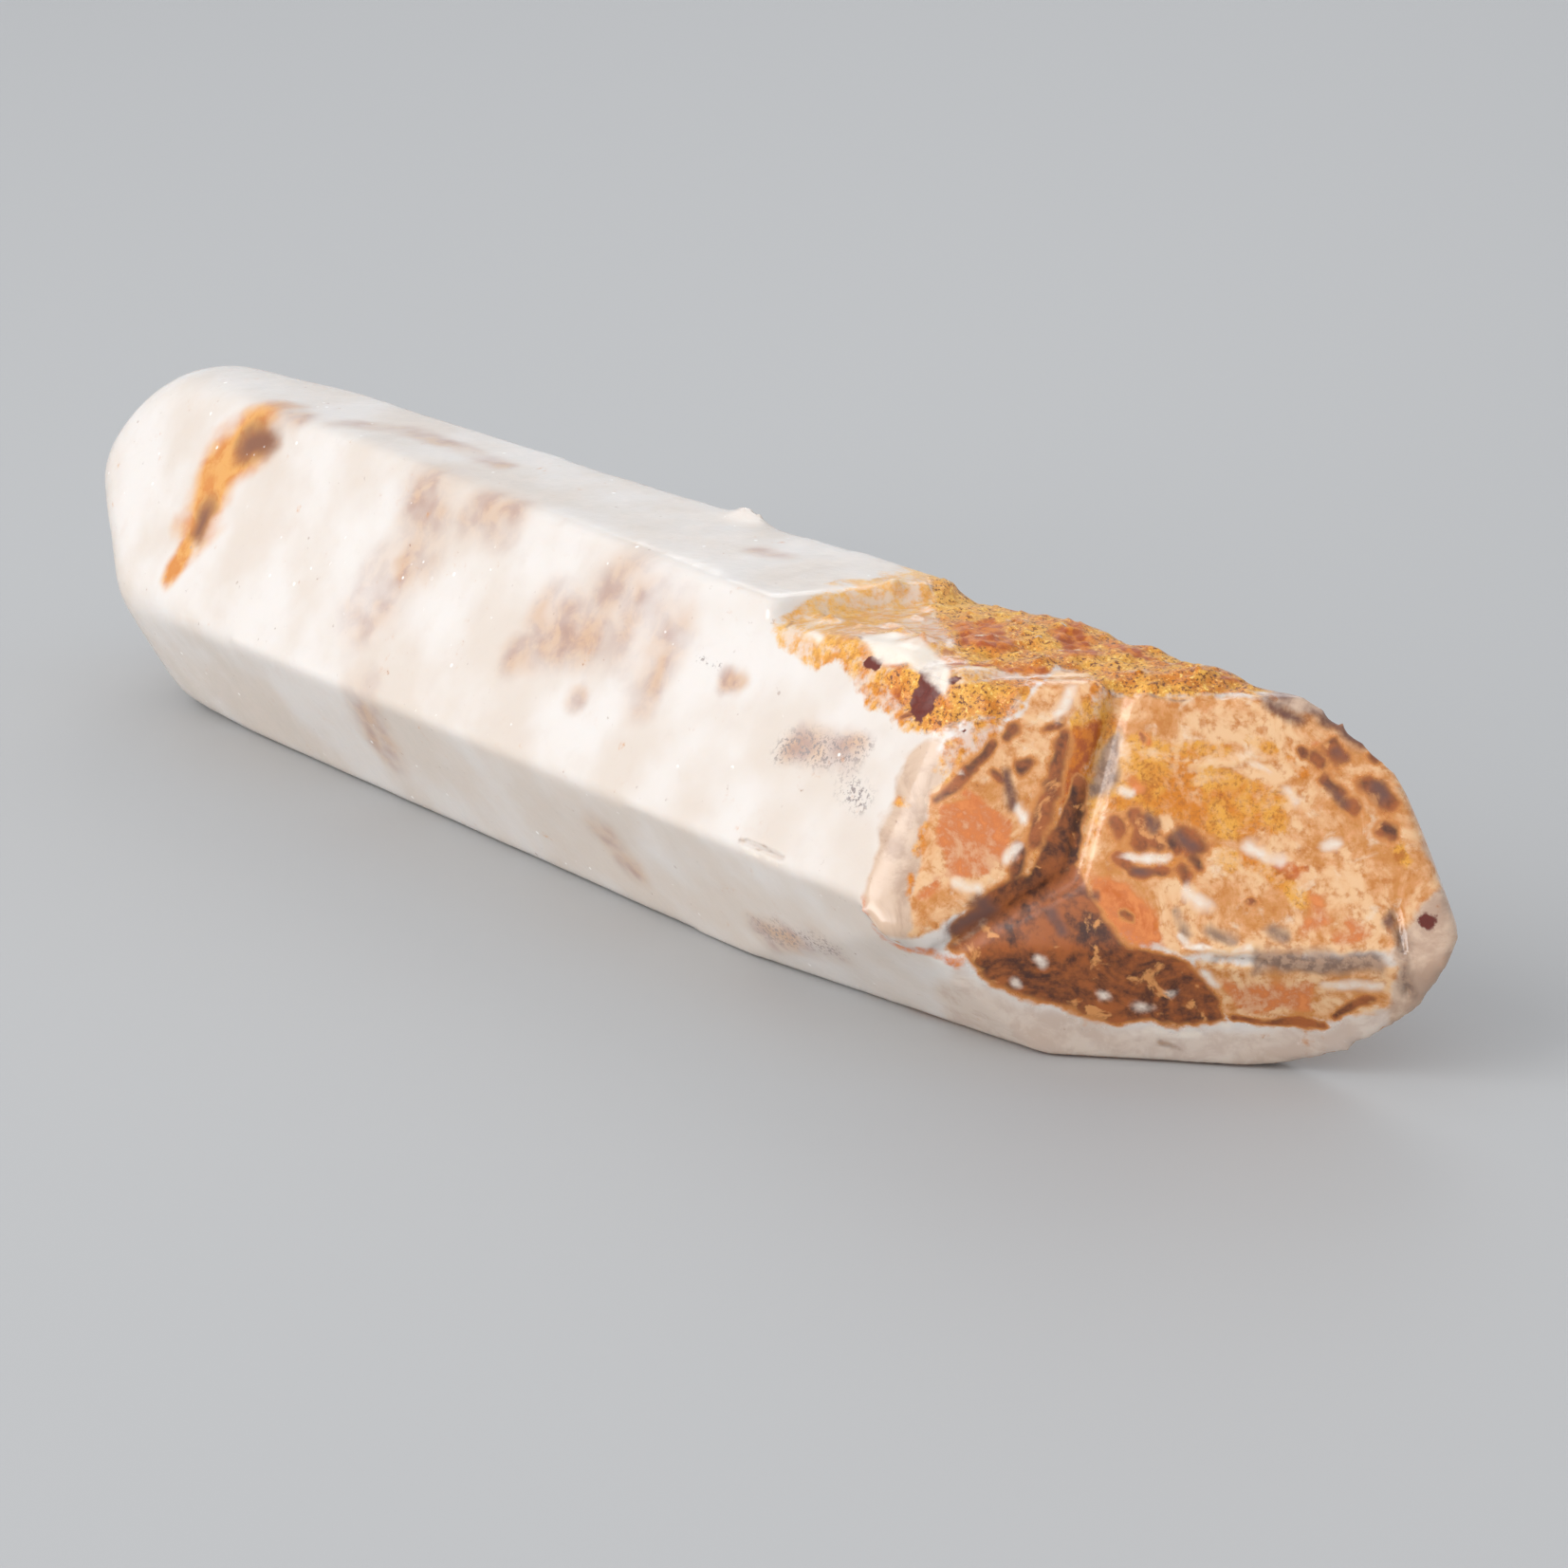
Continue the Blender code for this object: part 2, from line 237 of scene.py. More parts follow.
# Where along the crystal each softening begins and is full, and its passes. The worn end's are
# counted towards -X.
WORN_FROM, WORN_FULL, WORN_PASSES = 22.0 * MM, 30.0 * MM, 60
EDGE_FROM, EDGE_FULL, EDGE_PASSES = 8.0 * MM, 14.0 * MM, 10
CRUST_PASSES, BODY_PASSES = 30, 8
GROOVE_PASSES, SMALL_LUMP_PASSES = 36, 10

CRUST_PATCHES = {
    "top": (
        10, (980, 600), (1089, 625), (1160, 645), (1250, 675), (1345, 705), (1340, 728), (1290, 735),
        (1180, 732), (1140, 712), (1080, 712), (1020, 700), (1000, 670), (985, 650),
    ),
    "front": (
        8, (925, 715), (950, 700), (1000, 720), (1085, 715), (1060, 758), (1028, 756), (974, 774),
    ),
}
SLOTS = {
    "in the step": (4, (1284, 1013), (1305, 1014), (1334, 1016)),
    "crack in the body": (2.5, (786, 888), (805, 895), (824, 905)),
    "before the tip": (3, (1470, 960), (1478, 1000), (1482, 1050)),
}
GROOVE = ((1180, 730), (1130, 925), (992, 1005))
SMALL_LUMPS = ((795, 552), (822, 562))
RIDGES = {
    "main face": (3, (1219, 800), (1260, 808), (1300, 805), (1322, 797)),
    "step": (3, (1251, 1000), (1320, 1000)),
}

# Radii in pixels: the groove as it is pressed in, and what is softened round it and the lumps.
GROOVE_RADIUS, GROOVE_EASE, LUMP_EASE = 9, 32, 22

SLOT_DEPTH, GROOVE_DEPTH, RIDGE_HEIGHT = 0.20 * MM, 0.18 * MM, 0.07 * MM
WAVE_HEIGHT, WAVE_SIZE, WAVE_SEED = 0.035 * MM, 3.2 * MM, 3

# Below this height the crystal rests on the floor, so no wave moves it.
REST_HEIGHT = 0.06 * MM

# The crust's grains, coarse then fine, each with its height and its size.
CRUST_GRAINS = ((0.14 * MM, 0.50 * MM), (0.10 * MM, 0.30 * MM))

# A face counts as seen once it turns this much towards the camera.
SEEN_TURN = 0.06

places = coordinates(crystal)
flat_rest = places[:, 2] < REST_HEIGHT
places = soften(places, smoothstep(WORN_FROM, WORN_FULL, -places[:, 0]), WORN_PASSES)
places = soften(places, np.ones(len(places)), BODY_PASSES)
places = soften(places, smoothstep(EDGE_FROM, EDGE_FULL, places[:, 0]), EDGE_PASSES)
move_to(crystal, places)
toward_camera = np.array(CAMERA_PLACE) - places
toward_camera /= np.linalg.norm(toward_camera, axis=1)[:, None]
facing = smoothstep(0.0, SEEN_TURN, (normals(crystal) * toward_camera).sum(axis=1))
crust = smoothstep(0.35, 0.65, patch_field(CRUST_PATCHES.values(), places))
places = soften(places, crust, CRUST_PASSES)
move_to(crystal, places)
seen_surface = BVHTree.FromObject(crystal, bpy.context.evaluated_depsgraph_get())
groove = stroke_field(((GROOVE_EASE, *GROOVE),), places)
places = soften(places, smoothstep(0.1, 0.6, groove), GROOVE_PASSES)
small_lumps = stroke_field(((LUMP_EASE, *SMALL_LUMPS),), places)
places = soften(places, smoothstep(0.1, 0.6, small_lumps), SMALL_LUMP_PASSES)
move_to(crystal, places)

outward = normals(crystal)
grainy = crust > 0
lift = np.zeros(len(places))
lift[grainy] += crust[grainy] * sum(
    height * grain(places[grainy], size, seed) for seed, (height, size) in enumerate(CRUST_GRAINS, 1)
)
for strokes, height, edge in (
    (SLOTS.values(), -SLOT_DEPTH, 0.2),
    (((GROOVE_RADIUS, *GROOVE),), -GROOVE_DEPTH, 0.1),
    (RIDGES.values(), RIDGE_HEIGHT, 0.2),
):
    lift += height * smoothstep(edge, 0.9, stroke_field(strokes, places))
lift += WAVE_HEIGHT * grain(places, WAVE_SIZE, WAVE_SEED) * ~flat_rest
move_to(crystal, places + outward * lift[:, None])

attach(crystal, "root")
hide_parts("quartz_crystal")


# The stains: iron washed over the sharper end in cream, gold, amber, rust and dark brown, with
# clear, white and slate places between, and soft clouds of clay inside the milky body. Some
# white strokes are painted highlights, and the slate is partly painted shade in the slots, the
# crack, the step and the groove's far wall. The side turned from the photo's camera is given the
# same stains by chance, at the stained end only.
STAINS = {
    "clear": {
        "patches": {
            "tip": (8, (1470, 965), (1492, 905), (1560, 980), (1560, 1010), (1500, 1075), (1465, 1080)),
            "main face's upper rim": (
                8, (1330, 715), (1400, 725), (1460, 775), (1510, 840), (1540, 920), (1508, 935),
                (1483, 870), (1452, 800), (1400, 768), (1340, 748),
            ),
            "plate's outer rim": (
                7, (955, 795), (990, 775), (990, 830), (975, 862), (988, 900), (966, 940), (962, 992),
                (930, 988), (912, 955), (911, 930), (934, 860),
            ),
        },
    },
    "cream": {
        "patches": {
            "main face": (
                10, (1168, 738), (1340, 742), (1400, 762), (1450, 792), (1492, 870), (1510, 930),
                (1490, 960), (1462, 1000), (1330, 1003), (1250, 1003), (1215, 990), (1150, 960),
                (1130, 940), (1130, 900), (1150, 830),
            ),
            "plate": (
                8, (1075, 760), (1110, 712), (1158, 712), (1128, 800), (1104, 880), (1080, 925),
                (1010, 960), (960, 985), (975, 900), (985, 830), (1020, 800),
            ),
            "ledge below the main face": (
                8, (1262, 1018), (1470, 1022), (1462, 1062), (1400, 1072), (1300, 1070), (1270, 1050),
            ),
        },
    },
    "gold": {
        "patches": {
            "crust and the front below it": (
                9, (818, 668), (838, 640), (870, 622), (920, 612), (989, 590), (1089, 615), (1160, 640),
                (1250, 670), (1345, 705), (1340, 730), (1250, 735), (1180, 735), (1140, 712),
                (1112, 700), (1085, 735), (1060, 762), (1035, 795), (1005, 830), (985, 812),
                (1000, 778), (1028, 758), (974, 775), (958, 770), (938, 754), (915, 745), (900, 715),
                (885, 697), (850, 702),
            ),
            "main face's upper half": (
                9, (1165, 795), (1220, 790), (1300, 815), (1360, 840), (1350, 880), (1290, 880),
                (1230, 865), (1165, 850),
            ),
            "groove's upper wall": (
                8, (1165, 700), (1134, 760), (1107, 830), (1084, 895), (1100, 925), (1150, 900),
                (1165, 840), (1180, 770),
            ),
        },
        "strokes": (
            (8, (1195, 785), (1240, 788), (1290, 790)), (6, (1315, 778), (1340, 790)),
            (6, (1360, 800), (1370, 812)), (10, (1290, 905), (1340, 920), (1370, 945)),
            (5, (972, 876), (968, 900)), (4, (962, 920), (960, 940)), (5, (955, 845), (945, 842)),
            (7, (1220, 900), (1260, 912)), (6, (1478, 895), (1484, 905)), (4, (1400, 790), (1460, 800)),
        ),
    },
    "amber": {
        "patches": {
            "crust, left": (6, (1000, 655), (1050, 650), (1075, 675), (1060, 690), (1010, 680)),
            "crust, middle": (6, (1100, 660), (1140, 655), (1160, 690), (1120, 690)),
            "groove's upper end": (6, (1135, 765), (1165, 755), (1150, 800), (1125, 850), (1105, 850)),
        },
        "strokes": (
            (7, (1010, 700), (1060, 705), (1100, 708)), (5, (930, 700), (945, 705), (950, 690)),
            (7, (940, 730), (950, 740)), (8, (1150, 670), (1200, 690), (1250, 700)),
            (6, (1290, 715), (1320, 722)), (9, (1170, 940), (1195, 960), (1215, 975)),
            (5, (1345, 910), (1360, 925), (1375, 915)), (3, (1055, 868), (1062, 862)),
            (4, (1015, 855), (1030, 845)),
        ),
    },
    "rust": {
        "patches": {
            "plate": (
                4, (991, 852), (1035, 842), (1064, 862), (1062, 898), (1046, 920), (998, 926),
                (989, 890),
            ),
            "main face's lower corner": (
                7, (1150, 920), (1190, 935), (1215, 960), (1230, 1000), (1180, 1000), (1150, 975),
            ),
            "ledge below the main face": (7, (1285, 1032), (1385, 1036), (1388, 1066), (1310, 1066)),
        },
        "strokes": (
            (5, (990, 925), (985, 938), (975, 945)), (7, (1345, 905), (1370, 920)),
            (8, (1388, 945), (1394, 970), (1378, 980)), (6, (1420, 975), (1445, 985), (1410, 990)),
            (4, (1208, 778), (1212, 780)), (6, (910, 945), (912, 962), (924, 982), (950, 998)),
            (6, (950, 998), (980, 1004), (1010, 1017)), (5, (1030, 845), (1020, 838)),
            (6, (1180, 815), (1200, 830)), (5, (1400, 790), (1385, 785)), (5, (1370, 790), (1375, 795)),
            (5, (1190, 990), (1220, 1010)),
        ),
    },
    "brown": {
        "patches": {
            "triangle below the groove": (
                9, (1002, 1000), (1006, 978), (1035, 948), (1062, 925), (1135, 915), (1150, 950),
                (1190, 1000), (1240, 1006), (1255, 1025), (1285, 1052), (1290, 1078), (1174, 1080),
                (1144, 1072), (1115, 1058), (1074, 1050), (1042, 1030),
            ),
            "groove's floor": (
                5, (1135, 820), (1150, 830), (1142, 900), (1120, 925), (1078, 930), (1108, 880),
            ),
        },
        "strokes": (
            (7, (990, 843), (1005, 830), (1025, 812)), (7, (1030, 804), (1044, 786)),
            (9, (1122, 775), (1108, 830), (1092, 890)), (8, (1075, 900), (1070, 925)),
            (5, (1045, 815), (1052, 822)), (7, (1062, 776), (1070, 768)), (6, (1099, 768), (1104, 766)),
            (6, (1114, 762), (1120, 758)), (8, (1079, 808), (1086, 806)), (5, (1104, 822), (1100, 845)),
            (4, (1070, 890), (1074, 900)), (5, (1302, 1074), (1345, 1078), (1392, 1080)),
            (6, (1412, 1070), (1430, 1060), (1445, 1056)), (8, (1194, 860), (1206, 872)),
            (8, (1202, 880), (1205, 888)), (7, (1174, 868), (1180, 876)), (7, (1234, 890), (1242, 896)),
            (10, (1250, 884), (1266, 894)), (7, (1183, 903), (1190, 912)),
            (7, (1196, 918), (1224, 918)), (7, (1244, 918), (1248, 927)), (6, (1216, 884), (1220, 890)),
            (6, (1372, 788), (1375, 792)), (8, (1386, 797), (1394, 804)), (8, (1406, 786), (1412, 798)),
            (7, (1442, 789), (1449, 797)), (7, (1424, 848), (1428, 852)),
            (10, (1440, 825), (1464, 848)), (7, (1458, 872), (1470, 880)),
            (8, (1398, 822), (1412, 832)), (7, (1258, 905), (1264, 912)), (3, (1202, 776), (1206, 779)),
            (4, (1317, 952), (1320, 955)), (4, (1185, 965), (1192, 968)), (3, (1142, 942), (1148, 946)),
            (3, (978, 968), (984, 972)), (3, (1370, 728), (1345, 735)), (3, (950, 755), (985, 745)),
        ),
    },
    "mauve": {
        "strokes": (
            (10, (1030, 950), (1045, 960), (1005, 980)), (7, (1060, 815), (1062, 830), (1065, 845)),
            (5, (1140, 940), (1155, 945)), (6, (1400, 830), (1415, 845)), (5, (1412, 795), (1416, 800)),
            (9, (1350, 732), (1400, 758), (1432, 782)), (6, (1385, 750), (1400, 765)),
            (8, (1450, 830), (1458, 840)), (6, (1240, 885), (1262, 895)), (5, (1210, 862), (1218, 875)),
            (6, (1110, 960), (1120, 980)), (5, (1200, 915), (1215, 918)), (8, (1340, 740), (1370, 755)),
            (7, (1462, 975), (1470, 965)),
        ),
    },
    # Partly grey-brown marks and partly painted shade: the groove's far wall, the slots, the crack and
    # the step below the main face are darkened where shade falls.
    "shade_and_slate": {
        "patches": {
            "groove's far wall": (
                5, (1162, 790), (1180, 762), (1182, 800), (1168, 838), (1150, 845), (1156, 815),
            ),
            "step below the main face": (8, (1320, 1000), (1462, 1002), (1462, 1028), (1320, 1024)),
        },
        "strokes": (
            (3, (1005, 1000), (1020, 990), (1040, 972)), (3, (1284, 1013), (1334, 1016)),
            (8, (1476, 985), (1480, 1020), (1484, 1048)), (6, (1240, 962), (1252, 985)),
            (6, (1275, 980), (1300, 990)), (6, (1340, 985), (1355, 990)),
            (4, (1240, 1105), (1220, 1098)), (2, (1210, 735), (1250, 740)),
            (3, (1330, 732), (1350, 740)), (3, (926, 670), (954, 671)), (2, (866, 660), (875, 655)),
            (2, (832, 662), (836, 655)), (3, (1000, 703), (1008, 708)),
            (2.5, (780, 886), (800, 894), (826, 907)),
        ),
    },
    "maroon": {
        "patches": {
            "fleck in the bare place": (
                3, (980, 697), (995, 698), (992, 715), (986, 730), (988, 745), (975, 757), (960, 745),
                (962, 730), (975, 720),
            ),
        },
        "strokes": (
            (11, (985, 706), (980, 728), (970, 746)), (4, (915, 697), (925, 702), (936, 692)),
            (3, (948, 688), (952, 688)), (4, (1005, 716), (1012, 712)), (2, (905, 670), (915, 682)),
            (6, (1503, 971), (1508, 975)), (2, (1016, 768), (1030, 760)),
        ),
    },
    # Partly white quartz and partly painted highlights: some white strokes stand where light glints off
    # the faces.
    "white_and_glint": {
        "patches": {
            "bare place in the gold": (
                5, (905, 668), (930, 666), (975, 678), (998, 695), (1005, 705), (1000, 740), (990, 728),
                (960, 700), (935, 706), (918, 695),
            ),
        },
        "strokes": (
            (7, (1130, 722), (1122, 745), (1115, 752)), (4, (1322, 805), (1340, 818)),
            (6, (850, 668), (865, 675)), (6, (1072, 850), (1080, 862)), (6, (1060, 910), (1070, 895)),
            (7, (1010, 930), (1030, 935)), (4, (1245, 985), (1260, 1000), (1320, 1002)),
            (8, (1270, 955), (1250, 940)), (6, (1270, 1028), (1280, 1038)),
            (7, (1400, 1040), (1455, 1040)), (6, (1200, 1088), (1265, 1090)),
            (5, (1285, 1080), (1295, 1082)), (8, (1203, 1060), (1206, 1062)),
            (6, (1093, 1012), (1096, 1016)), (6, (1071, 1035), (1073, 1037)),
            (7, (1161, 1049), (1163, 1050)), (6, (1235, 1046), (1237, 1046)),
            (7, (1320, 895), (1350, 905)), (6, (1365, 845), (1355, 835)), (6, (1400, 895), (1410, 890)),
            (4, (1190, 900), (1230, 903)), (5, (1178, 832), (1190, 836)), (3, (1010, 812), (1014, 816)),
            (3, (785, 897), (822, 915)),
        ),
    },
    "clouds": {
        "strokes": (
            (40, (452, 520), (438, 585), (388, 640)), (26, (500, 542), (535, 552)),
            (28, (380, 735), (405, 790)), (42, (655, 632), (692, 672)), (30, (580, 650), (620, 668)),
            (22, (690, 700), (676, 736)), (13, (606, 736), (609, 738)), (20, (545, 690), (590, 682)),
            (11, (765, 716), (780, 720)), (14, (800, 580), (820, 586)), (18, (300, 428), (318, 440)),
            (15, (360, 447), (425, 452), (530, 490)), (24, (636, 878), (662, 908)),
            (20, (806, 985), (872, 1000)), (16, (840, 785), (900, 790)),
        ),
    },
    "rim": {
        "patches": {
            "lower rim of the stained end": (
                12, (1010, 1026), (1042, 1038), (1074, 1058), (1174, 1088), (1290, 1088), (1400, 1085),
                (1470, 1050), (1545, 1010), (1520, 1080), (1420, 1135), (1320, 1145), (1180, 1135),
                (1100, 1125), (1000, 1095), (985, 1040),
            ),
        },
    },
    "speckle": {
        "strokes": (
            (18, (830, 785), (905, 790)), (17, (892, 828), (906, 842)), (18, (805, 980), (875, 998)),
            (6, (740, 691), (757, 703)),
        ),
    },
    "embers": {
        "strokes": (
            (50, (262, 468), (232, 498)), (36, (222, 520), (208, 552)), (18, (205, 560), (184, 600)),
        ),
    },
    "ember_cores": {
        "strokes": (
            (24, (262, 470), (284, 465)), (20, (216, 540), (210, 558)),
        ),
    },
}

# How much of each stain the unseen side has, and the size of its blots.
UNSEEN = {
    "clear": (0.45, 5.0 * MM), "cream": (0.75, 4.5 * MM), "gold": (0.50, 4.0 * MM),
    "amber": (0.20, 2.0 * MM), "rust": (0.22, 3.0 * MM), "brown": (0.14, 1.6 * MM),
    "mauve": (0.16, 1.8 * MM), "shade_and_slate": (0.06, 2.0 * MM), "white_and_glint": (0.12, 2.0 * MM),
}
UNSEEN_SWING, UNSEEN_SEED = 0.9, 40

# Where along the crystal the unseen stains begin and are full, and how far that edge wanders.
UNSEEN_FROM, UNSEEN_FULL = 11.0 * MM, 27.0 * MM
WANDER, WANDER_SIZE, WANDER_SEED = 7.0 * MM, 5.0 * MM, 30

# How far the painted edges wander, the size of the lumps that they wander by, and a seed.
EDGE_WANDER = ((0.22 * MM, 1.1 * MM, 10), (0.10 * MM, 0.4 * MM, 20))


def attribute(name, values):
    made = crystal.data.attributes.new(name, "FLOAT", "POINT")
    made.data.foreach_set("value", values.astype(np.float32))


places = coordinates(crystal)
wander = np.stack([
    sum(amount * grain(places, size, seed + axis) for amount, size, seed in EDGE_WANDER)
    for axis in range(3)
], axis=1)
back_edge = places[:, 0] + WANDER * grain(places, WANDER_SIZE, WANDER_SEED)
reach_back = (1.0 - facing) * smoothstep(UNSEEN_FROM, UNSEEN_FULL, back_edge)
for number, (name, marks) in enumerate(STAINS.items()):
    patches, strokes = marks.get("patches", {}).values(), marks.get("strokes", ())
    field = np.maximum(patch_field(patches, places + wander), stroke_field(strokes, places + wander))
    if name in UNSEEN:
        amount, size = UNSEEN[name]
        chance = np.clip(amount + UNSEEN_SWING * grain(places, size, UNSEEN_SEED + number), 0.0, 1.0)
        field = np.maximum(field, chance * reach_back)
    attribute(name, field)
attribute("crust", crust)


# The milky quartz: light soaks a little way in, and the stains lie over it one upon another, each
# broken up by noise, with painted glints and painted shade among them. The crust and the brown
# stain are duller than the bare faces.

# Colours as a screen shows them, from 0 to 255.
TINTS = {
    "milk": (230, 223, 217), "warm_milk": (221, 208, 196), "veil": (216, 202, 192),
    "clay": (208, 168, 134), "dark_clay": (176, 138, 122), "ember": (214, 136, 54),
    "pale_ember": (226, 164, 84), "ember_core": (136, 84, 54), "speckle": (158, 146, 142),
    "painted_glint": (255, 252, 248), "speck": (176, 154, 140), "rim": (222, 200, 180),
    "dark_rim": (198, 168, 146), "clear": (216, 188, 164), "dark_clear": (192, 162, 140),
    "peach": (238, 196, 150), "deep_peach": (226, 160, 104), "ochre_wash": (204, 136, 62),
    "amber_wash": (196, 116, 44), "cream": (240, 220, 194), "gold": (216, 130, 18),
    "pale_gold": (232, 168, 62), "gold_grain": (168, 98, 24), "brown_gold": (186, 108, 24),
    "faded_gold": (242, 192, 104), "crust_pit": (124, 68, 22), "crust_glint": (250, 206, 112),
    "amber": (214, 122, 8), "dark_amber": (176, 82, 8), "rust": (190, 80, 18),
    "pale_rust": (228, 142, 76), "brown_halo": (212, 140, 70), "dark_brown": (72, 34, 18),
    "brown": (172, 94, 36), "brown_vein": (216, 150, 86), "mauve": (112, 72, 60),
    "shade_and_slate": (132, 104, 88), "pale_shade_and_slate": (178, 146, 122), "maroon": (104, 28, 8),
    "white_and_glint": (242, 230, 216),
}


def tint(name):
    """A named colour as the shader's linear colour."""
    shares = [value / 255 for value in TINTS[name]]
    return tuple(s / 12.92 if s <= 0.04045 else ((s + 0.055) / 1.055) ** 2.4 for s in shares) + (1.0,)


milk = bpy.data.materials.new("milky_quartz")
milk.use_nodes = True
nodes, links = milk.node_tree.nodes, milk.node_tree.links
shader = nodes["Principled BSDF"]
place_node = nodes.new("ShaderNodeTexCoord")


def feed(socket, value):
    """Links a node's socket to this one, or sets a plain value on it."""
    if isinstance(value, bpy.types.NodeSocket):
        links.new(value, socket)
    else:
        socket.default_value = value


def pattern_noise(size, detail, rough, distortion=0.0):
    """Noise over the crystal with lumps of this size, from 0 to 1."""
    made = nodes.new("ShaderNodeTexNoise")
    links.new(place_node.outputs["Object"], made.inputs["Vector"])
    made.inputs["Scale"].default_value = 1.0 / size
    made.inputs["Detail"].default_value = detail
    made.inputs["Roughness"].default_value = rough
    made.inputs["Distortion"].default_value = distortion
    return made.outputs["Fac"]


def sums(operation, first, second, third=0.0):
    made = nodes.new("ShaderNodeMath")
    made.operation = operation
    for socket, value in zip(made.inputs, (first, second, third)):
        feed(socket, value)
    return made.outputs[0]


def step(value, low, high, to_low=0.0, to_high=1.0):
    """Eases from to_low to to_high as the value goes from low to high."""
    made = nodes.new("ShaderNodeMapRange")
    made.interpolation_type = "SMOOTHSTEP"
    for name, number in (
        ("Value", value), ("From Min", low), ("From Max", high), ("To Min", to_low), ("To Max", to_high)
    ):
        feed(made.inputs[name], number)
    return made.outputs["Result"]


def blend(share, first, second):
    """Mixes two colours. A Mix node's sockets 0, 6 and 7 are its factor and its colours."""
    made = nodes.new("ShaderNodeMix")
    made.data_type = "RGBA"
    feed(made.inputs[0], share)
    feed(made.inputs[6], first)
    feed(made.inputs[7], second)
    return made.outputs[2]


def two_tone(values, low, high, first, second):
    """One named colour easing into another as the noise goes from low to high."""
    return blend(step(values, low, high), tint(first), tint(second))


def painted(name):
    made = nodes.new("ShaderNodeAttribute")
    made.attribute_name = name
    return made.outputs["Fac"]


def ragged(name, low, high, wander, amount):
    """A painted mask whose edge wanders with a noise."""
    shifted = sums("MULTIPLY_ADD", sums("SUBTRACT", wander, 0.5), amount, painted(name))
    return step(shifted, low, high)


fine = pattern_noise(0.35 * MM, 5.0, 0.6)
medium = pattern_noise(1.1 * MM, 5.0, 0.6, 0.4)
broad = pattern_noise(4.5 * MM, 3.0, 0.5)
blots = pattern_noise(2.0 * MM, 6.0, 0.65, 0.8)
grains = pattern_noise(0.16 * MM, 3.0, 0.7)
soft = pattern_noise(2.4 * MM, 2.0, 0.5)
mottle = sums("ADD", sums("MULTIPLY", blots, 0.6), sums("MULTIPLY", fine, 0.4))

body = two_tone(broad, 0.35, 0.65, "milk", "warm_milk")
body = blend(step(medium, 0.50, 0.80, 0.0, 0.30), body, tint("veil"))
cloudy = sums("MULTIPLY", step(painted("clouds"), 0.0, 0.85), step(soft, 0.32, 0.66, 0.25, 0.85))
body = blend(cloudy, body, two_tone(medium, 0.40, 0.62, "clay", "dark_clay"))
body = blend(ragged("embers", 0.20, 0.75, soft, 0.9), body,
             two_tone(medium, 0.4, 0.6, "ember", "pale_ember"))
body = blend(ragged("ember_cores", 0.20, 0.9, soft, 0.9), body, tint("ember_core"))
speckled = sums("MULTIPLY", ragged("speckle", 0.25, 0.9, mottle, 1.2), step(grains, 0.50, 0.60))
body = blend(speckled, body, tint("speckle"))

# Tiny painted glints, white dots that stand in for sparkles of light, and specks,
# at most one to a cell of this size.
DOT_CELL = 0.8 * MM
dots = nodes.new("ShaderNodeTexVoronoi")
dots.inputs["Scale"].default_value = 1.0 / DOT_CELL
links.new(place_node.outputs["Object"], dots.inputs["Vector"])
dot = step(dots.outputs["Distance"], 0.13, 0.07)
# Painted glints: white dots where the quartz would sparkle in the light.
body = blend(sums("MULTIPLY", dot, step(blots, 0.54, 0.60)), body, tint("painted_glint"))
body = blend(sums("MULTIPLY", dot, step(blots, 0.42, 0.36, 0.0, 0.6)), body, tint("speck"))
rimmed = sums("MULTIPLY", ragged("rim", 0.15, 0.85, medium, 0.6), 0.6)
body = blend(rimmed, body, two_tone(medium, 0.42, 0.60, "rim", "dark_rim"))

colour = blend(ragged("clear", 0.20, 0.75, mottle, 1.0), body,
               two_tone(blots, 0.4, 0.6, "clear", "dark_clear"))
washed = two_tone(blots, 0.38, 0.62, "peach", "deep_peach")
washed = blend(step(mottle, 0.43, 0.60, 0.0, 0.9), washed, tint("ochre_wash"))
washed = blend(step(fine, 0.52, 0.66, 0.0, 0.45), washed, tint("amber_wash"))
washed = blend(step(medium, 0.58, 0.72, 0.0, 0.6), washed, tint("cream"))
colour = blend(ragged("cream", 0.06, 0.46, mottle, 0.9), colour, washed)
golden = two_tone(medium, 0.40, 0.60, "gold", "pale_gold")
golden = blend(step(grains, 0.48, 0.66, 0.0, 0.7), golden, tint("gold_grain"))
golden = blend(step(mottle, 0.54, 0.64), golden, tint("brown_gold"))
GOLD_FADE_FROM, GOLD_FADE_FULL = 19.0 * MM, 12.0 * MM
axes = nodes.new("ShaderNodeSeparateXYZ")
links.new(place_node.outputs["Object"], axes.inputs["Vector"])
faded = step(axes.outputs["X"], GOLD_FADE_FROM, GOLD_FADE_FULL, 0.0, 0.6)
golden = blend(faded, golden, tint("faded_gold"))
golden = blend(sums("MULTIPLY", painted("crust"), step(grains, 0.55, 0.63)), golden, tint("crust_pit"))
# Painted highlights: bright dots on the crust's grains where light would glint.
golden = blend(sums("MULTIPLY", painted("crust"), step(grains, 0.42, 0.36)), golden, tint("crust_glint"))
broken = sums("MAXIMUM", painted("crust"), step(mottle, 0.40, 0.56, 0.35, 1.0))
colour = blend(sums("MULTIPLY", ragged("gold", 0.22, 0.70, mottle, 1.9), broken), colour, golden)
colour = blend(ragged("amber", 0.30, 0.90, mottle, 1.8), colour,
               two_tone(fine, 0.4, 0.6, "amber", "dark_amber"))
colour = blend(sums("MULTIPLY", ragged("rust", 0.20, 0.95, mottle, 1.9), broken), colour,
               two_tone(mottle, 0.38, 0.62, "rust", "pale_rust"))
colour = blend(ragged("brown", 0.15, 0.50, mottle, 1.3), colour, tint("brown_halo"))
